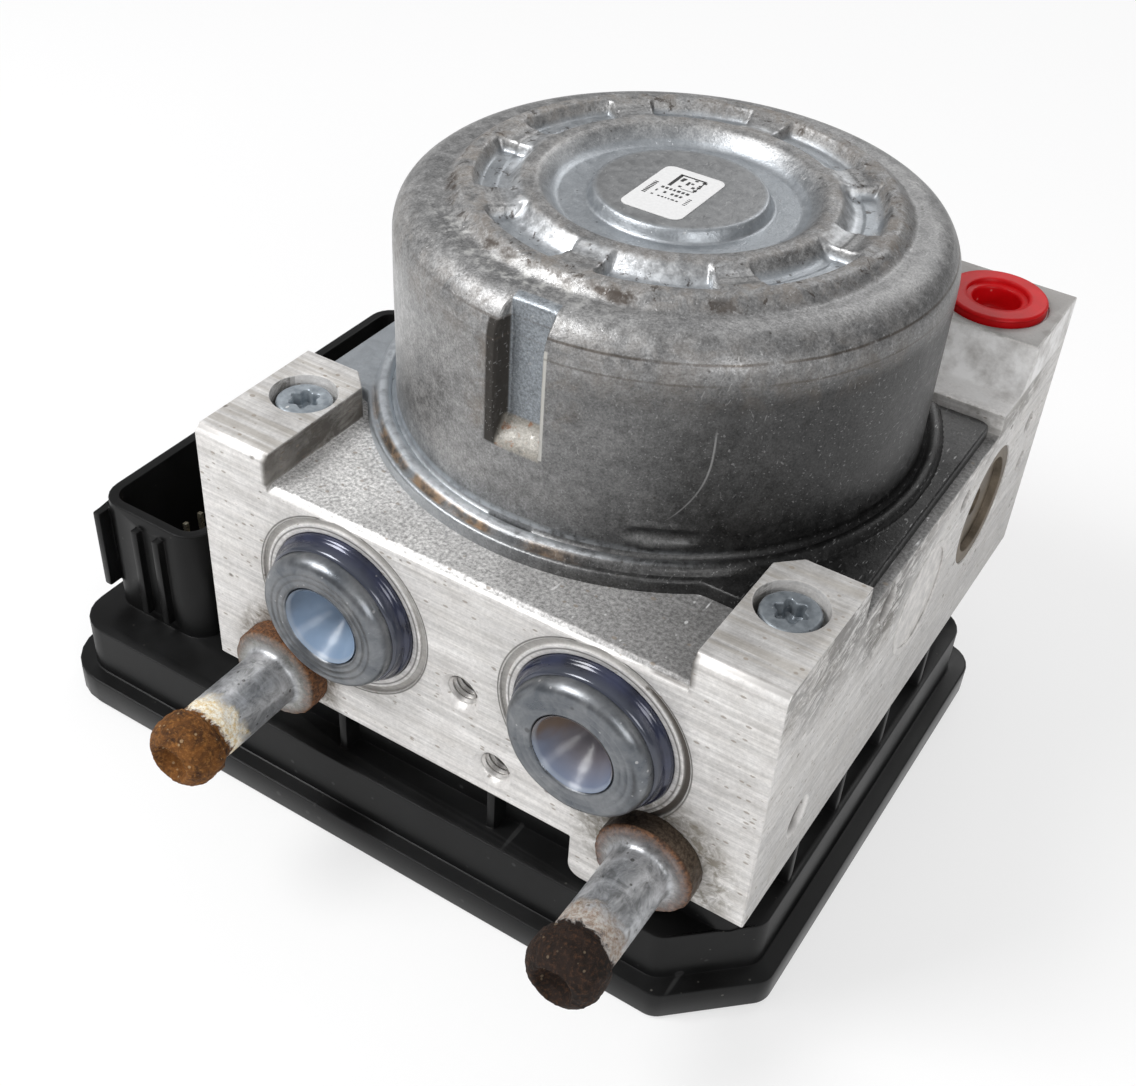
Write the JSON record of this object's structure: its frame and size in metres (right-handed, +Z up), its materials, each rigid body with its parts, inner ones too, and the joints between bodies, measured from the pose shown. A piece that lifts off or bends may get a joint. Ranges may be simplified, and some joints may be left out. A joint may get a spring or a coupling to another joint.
{
  "type": "abs brake module",
  "caption": "Anti-lock brake hydraulic unit: drilled valve block with pump motor, reservoir caps, valves and a control unit with a connector shroud.",
  "frame": {"origin": "on the motor axis, at the underside of the control unit lid", "axes": "+Z up the motor axis, -Y out of the front face with the two reservoir caps, -X towards the connector shroud"},
  "size_m": [0.1425, 0.1404, 0.1068],
  "materials": {
    "block_aluminium": "milled, bright, with brown specks and grime in its corners",
    "motor_steel": "drawn grey zinc-coated steel, satin, mottled and scratched",
    "label_paper": "white film, satin",
    "magnet_ferrite": "sintered, dark grey",
    "bearing_steel": "ground",
    "core_steel": "laminated",
    "winding_copper": "enamelled copper wire",
    "black_plastic": "glass-filled black plastic, satin",
    "brush_carbon": "sintered carbon",
    "spring_steel": "drawn wire",
    "plug_alloy": "turned, dull",
    "cap_steel": "smoky zinc, worn bright on the rim",
    "band_indigo": "dark violet-blue, glossy",
    "funnel_plastic": "milky bluish plastic",
    "piston_alloy": "anodised",
    "seal_rubber": "matte",
    "stud_steel": "zinc-plated, head and flange rusted",
    "screw_zinc": "blue-grey zinc",
    "plug_red": "bright red moulded plastic",
    "valve_metal": "nickel-plated",
    "coil_body": "moulded over a steel yoke",
    "contact_tin": "tinned bronze",
    "board_green": "solder mask"
  },
  "bodies": {
    "module": {"valve_block": "block_aluminium", "motor_can": "motor_steel", "motor_label": "label_paper", "magnet_front_left": "magnet_ferrite", "magnet_front_right": "magnet_ferrite", "magnet_rear_left": "magnet_ferrite", "magnet_rear_right": "magnet_ferrite", "upper_bearing": "bearing_steel", "lower_bearing": "bearing_steel", "brush_plate": "black_plastic", "brush_left": "brush_carbon", "brush_right": "brush_carbon", "pump_sleeve_left": "plug_alloy", "pump_sleeve_right": "plug_alloy", "pump_spring_left": "spring_steel", "pump_spring_right": "spring_steel", "pump_plug_left": "plug_alloy", "pump_plug_right": "plug_alloy", "damper_plug_left": "plug_alloy", "damper_plug_right": "plug_alloy", "reservoir_cap_left": "cap_steel", "reservoir_cap_right": "cap_steel", "reservoir_band_left": "band_indigo", "reservoir_band_right": "band_indigo", "vent_funnel_left": "funnel_plastic", "vent_funnel_right": "funnel_plastic", "reservoir_spring_left": "spring_steel", "reservoir_spring_right": "spring_steel", "mounting_stud_left": "stud_steel", "mounting_stud_right": "stud_steel", "unit_screw_left": "screw_zinc", "unit_screw_right": "screw_zinc", "port_plug_top_left": "plug_red", "port_plug_top_right": "plug_red", "port_plugs_rear": "plug_red", "gallery_balls": "spring_steel", "inlet_valves": "valve_metal", "outlet_valves": "valve_metal", "inlet_coils": "coil_body", "outlet_coils": "coil_body", "coil_leads": "contact_tin", "unit_housing": "black_plastic", "unit_lid": "black_plastic", "unit_gasket": "seal_rubber", "circuit_board": "board_green", "board_chips": "coil_body", "connector_pins": "contact_tin"},
    "rotor": {"rotor_shaft": "bearing_steel", "armature_core": "core_steel", "armature_windings": "winding_copper", "commutator": "winding_copper"},
    "eccentric_ring": {"eccentric_ring": "bearing_steel"},
    "pump_piston_left": {"pump_piston_left": "bearing_steel"},
    "pump_piston_right": {"pump_piston_right": "bearing_steel"},
    "reservoir_piston_left": {"reservoir_piston_left": "piston_alloy", "piston_seal_left": "seal_rubber"},
    "reservoir_piston_right": {"reservoir_piston_right": "piston_alloy", "piston_seal_right": "seal_rubber"}
  },
  "joints": [
    {"name": "rotor_spin", "type": "hinge", "parent": "module", "child": "rotor", "pos_m": [0, 0, 0.0505], "axis": [0, 0, 1], "continuous": true},
    {"name": "eccentric_ring_spin", "type": "hinge", "parent": "rotor", "child": "eccentric_ring", "pos_m": [0, 0.001, 0.0505], "axis": [0, 0, 1], "continuous": true},
    {"name": "pump_piston_left_slide", "type": "slide", "parent": "module", "child": "pump_piston_left", "axis": [1, 0, 0], "range_m": [0, 0.0011], "deforming": ["pump_spring_left"]},
    {"name": "pump_piston_right_slide", "type": "slide", "parent": "module", "child": "pump_piston_right", "axis": [-1, 0, 0], "range_m": [0, 0.0011], "deforming": ["pump_spring_right"]},
    {"name": "reservoir_piston_left_slide", "type": "slide", "parent": "module", "child": "reservoir_piston_left", "axis": [0, -1, 0], "range_m": [0, 0.008], "stiffness_N_per_m": 600, "springref_m": -0.004, "deforming": ["reservoir_spring_left"]},
    {"name": "reservoir_piston_right_slide", "type": "slide", "parent": "module", "child": "reservoir_piston_right", "axis": [0, -1, 0], "range_m": [0, 0.008], "stiffness_N_per_m": 600, "springref_m": -0.004, "deforming": ["reservoir_spring_right"]}
  ],
  "couplings": [
    {"joint": "eccentric_ring_spin", "follows": "rotor_spin", "ratio": -1}
  ]
}
